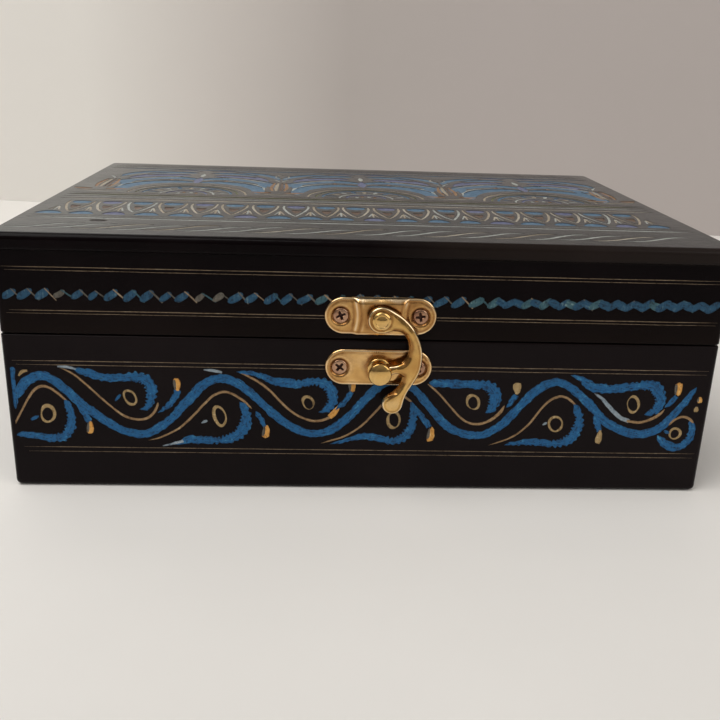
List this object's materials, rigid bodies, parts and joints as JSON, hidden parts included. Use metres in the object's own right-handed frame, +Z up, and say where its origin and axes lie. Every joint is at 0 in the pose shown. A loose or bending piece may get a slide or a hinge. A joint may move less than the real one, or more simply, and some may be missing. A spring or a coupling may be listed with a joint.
{
  "type": "jewelry box",
  "caption": "Lacquered wooden jewelry box with a hinged lid, mitred wall boards, velvet lining, small butt hinges at the back and a brass swing-hook latch on the front.",
  "frame": {"origin": "centre of the flat underside of the closed wooden box", "axes": "+X along the box's length, to the right seen from the front; the front with the latch faces -Y; +Z up"},
  "size_m": [0.1922, 0.1481, 0.07],
  "materials": {
    "lacquered_wood": "gloss black lacquer with blue and gold cut scroll pattern",
    "velvet": "short pile velvet",
    "latch_brass": "satin gold-plated brass",
    "screw_brass": "plated, slightly darker",
    "hinge_brass": "satin brass"
  },
  "bodies": {
    "base": {"body_front_board": "lacquered_wood", "body_back_board": "lacquered_wood", "body_left_board": "lacquered_wood", "body_right_board": "lacquered_wood", "body_bottom_panel": "lacquered_wood", "body_floor_pad": "velvet", "body_lining_front": "velvet", "body_lining_back": "velvet", "body_lining_left": "velvet", "body_lining_right": "velvet", "hinge_left_body_leaf": "hinge_brass", "hinge_left_pin": "hinge_brass", "hinge_right_body_leaf": "hinge_brass", "hinge_right_pin": "hinge_brass", "hinge_body_screws": "screw_brass", "latch_body_plate": "latch_brass", "latch_stud": "latch_brass", "latch_body_screws": "screw_brass"},
    "lid": {"lid_front_board": "lacquered_wood", "lid_back_board": "lacquered_wood", "lid_left_board": "lacquered_wood", "lid_right_board": "lacquered_wood", "lid_top_panel": "lacquered_wood", "lid_lining_pad": "velvet", "lid_lining_front": "velvet", "lid_lining_back": "velvet", "lid_lining_left": "velvet", "lid_lining_right": "velvet", "hinge_left_lid_leaf": "hinge_brass", "hinge_right_lid_leaf": "hinge_brass", "hinge_lid_screws": "screw_brass", "latch_lid_plate": "latch_brass", "latch_pivot_rivet": "latch_brass", "latch_lid_screws": "screw_brass"},
    "hook": {"latch_hook": "latch_brass"}
  },
  "joints": [
    {"name": "lid_hinge", "type": "hinge", "parent": "base", "child": "lid", "pos_m": [0, 0.0685, 0.0435], "axis": [-1, 0, 0], "range_deg": [0, 105]},
    {"name": "hook_swing", "type": "hinge", "parent": "lid", "child": "hook", "pos_m": [0.0032, -0.07, 0.0502], "axis": [0, -1, 0], "range_deg": [0, 290]}
  ]
}
